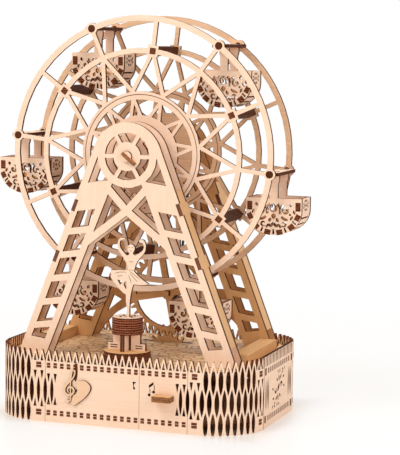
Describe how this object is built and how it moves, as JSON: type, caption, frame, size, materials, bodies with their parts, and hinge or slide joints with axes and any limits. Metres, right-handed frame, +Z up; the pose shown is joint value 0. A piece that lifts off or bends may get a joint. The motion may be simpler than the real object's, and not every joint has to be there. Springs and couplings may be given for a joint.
{
  "type": "ferris wheel model",
  "caption": "Plywood ferris wheel on a round-cornered music base: swinging gondolas between two spoked rims on A-frames, gear drive, turning dancer on a pedestal, and a drawer.",
  "frame": {"origin": "on the table under the middle of the base, at the height of the lower edge of its walls", "axes": "+Z up, -Y towards the side with the heart, the dancer and the drawer, +X to the right seen from there"},
  "size_m": [0.289, 0.1916, 0.3574],
  "materials": {
    "birch_ply": "bare, sanded",
    "tan_ply": "bare",
    "burnt_ply": "scorched cut edges",
    "movement_brass": "satin",
    "belt_rubber": "matt"
  },
  "bodies": {
    "base": {"base_plate": "tan_ply", "deck_plate": "tan_ply", "paving_plate": "tan_ply", "front_panel": "birch_ply", "rear_panel": "birch_ply", "end_panel_left": "birch_ply", "end_panel_right": "birch_ply", "corner_front_left": "birch_ply", "corner_front_right": "birch_ply", "corner_rear_left": "birch_ply", "corner_rear_right": "birch_ply", "front_frame_outer": "birch_ply", "front_frame_inner": "birch_ply", "rear_frame_inner": "birch_ply", "rear_frame_outer": "birch_ply", "front_rail_left": "tan_ply", "front_rail_right": "tan_ply", "rear_rail_left": "tan_ply", "rear_rail_right": "tan_ply", "foot_beam_left": "tan_ply", "foot_beam_right": "tan_ply", "pedestal": "burnt_ply", "drive_belt": "belt_rubber", "music_movement": "movement_brass"},
    "wheel": {"front_rim": "birch_ply", "rear_rim": "birch_ply", "axle": "burnt_ply", "axle_pulley": "tan_ply"},
    "gondola_1": {"gondola_1_bar": "birch_ply", "gondola_1_front": "birch_ply", "gondola_1_rear": "birch_ply", "gondola_1_basket": "birch_ply"},
    "gondola_2": {"gondola_2_bar": "birch_ply", "gondola_2_front": "birch_ply", "gondola_2_rear": "birch_ply", "gondola_2_basket": "birch_ply"},
    "gondola_3": {"gondola_3_bar": "birch_ply", "gondola_3_front": "birch_ply", "gondola_3_rear": "birch_ply", "gondola_3_basket": "birch_ply"},
    "gondola_4": {"gondola_4_bar": "birch_ply", "gondola_4_front": "birch_ply", "gondola_4_rear": "birch_ply", "gondola_4_basket": "birch_ply"},
    "gondola_5": {"gondola_5_bar": "birch_ply", "gondola_5_front": "birch_ply", "gondola_5_rear": "birch_ply", "gondola_5_basket": "birch_ply"},
    "gondola_6": {"gondola_6_bar": "birch_ply", "gondola_6_front": "birch_ply", "gondola_6_rear": "birch_ply", "gondola_6_basket": "birch_ply"},
    "drawer": {"drawer_front": "birch_ply", "drawer_tray": "tan_ply", "drawer_handle": "birch_ply"},
    "turntable": {"turntable": "burnt_ply", "ballerina": "birch_ply"},
    "drive": {"drive_gear": "tan_ply"},
    "output": {"output_shaft": "tan_ply"},
    "key": {"winding_key": "birch_ply"}
  },
  "joints": [
    {"name": "wheel_spin", "type": "hinge", "parent": "base", "child": "wheel", "pos_m": [0, 0, 0.2349], "axis": [0, 1, 0], "continuous": true},
    {"name": "gondola_1_swing", "type": "hinge", "parent": "wheel", "child": "gondola_1", "pos_m": [0.11923, 0, 0.22132], "axis": [0, 1, 0], "continuous": true},
    {"name": "gondola_2_swing", "type": "hinge", "parent": "wheel", "child": "gondola_2", "pos_m": [0.07138, 0, 0.33136], "axis": [0, 1, 0], "continuous": true},
    {"name": "gondola_3_swing", "type": "hinge", "parent": "wheel", "child": "gondola_3", "pos_m": [-0.04785, 0, 0.34495], "axis": [0, 1, 0], "continuous": true},
    {"name": "gondola_4_swing", "type": "hinge", "parent": "wheel", "child": "gondola_4", "pos_m": [-0.11923, 0, 0.24848], "axis": [0, 1, 0], "continuous": true},
    {"name": "gondola_5_swing", "type": "hinge", "parent": "wheel", "child": "gondola_5", "pos_m": [-0.07138, 0, 0.13844], "axis": [0, 1, 0], "continuous": true},
    {"name": "gondola_6_swing", "type": "hinge", "parent": "wheel", "child": "gondola_6", "pos_m": [0.04785, 0, 0.12485], "axis": [0, 1, 0], "continuous": true},
    {"name": "drive_spin", "type": "hinge", "parent": "base", "child": "drive", "pos_m": [0, 0.045, 0.101], "axis": [0, 1, 0], "continuous": true},
    {"name": "output_spin", "type": "hinge", "parent": "base", "child": "output", "pos_m": [0, 0.045, 0.04], "axis": [0, 1, 0], "continuous": true},
    {"name": "turntable_spin", "type": "hinge", "parent": "base", "child": "turntable", "pos_m": [0, -0.058, 0.06], "axis": [0, 0, 1], "continuous": true},
    {"name": "key_turn", "type": "hinge", "parent": "base", "child": "key", "pos_m": [0.015, 0.0855, 0.027], "axis": [0, 1, 0], "continuous": true},
    {"name": "drawer_slide", "type": "slide", "parent": "base", "child": "drawer", "axis": [0, -1, 0], "range_m": [0, 0.06]}
  ],
  "couplings": [
    {"joint": "gondola_1_swing", "follows": "wheel_spin", "ratio": -1},
    {"joint": "gondola_2_swing", "follows": "wheel_spin", "ratio": -1},
    {"joint": "gondola_3_swing", "follows": "wheel_spin", "ratio": -1},
    {"joint": "gondola_4_swing", "follows": "wheel_spin", "ratio": -1},
    {"joint": "gondola_5_swing", "follows": "wheel_spin", "ratio": -1},
    {"joint": "gondola_6_swing", "follows": "wheel_spin", "ratio": -1},
    {"joint": "drive_spin", "follows": "wheel_spin", "ratio": 3},
    {"joint": "output_spin", "follows": "wheel_spin", "ratio": -4.9565},
    {"joint": "turntable_spin", "follows": "wheel_spin", "ratio": -1.9602}
  ]
}
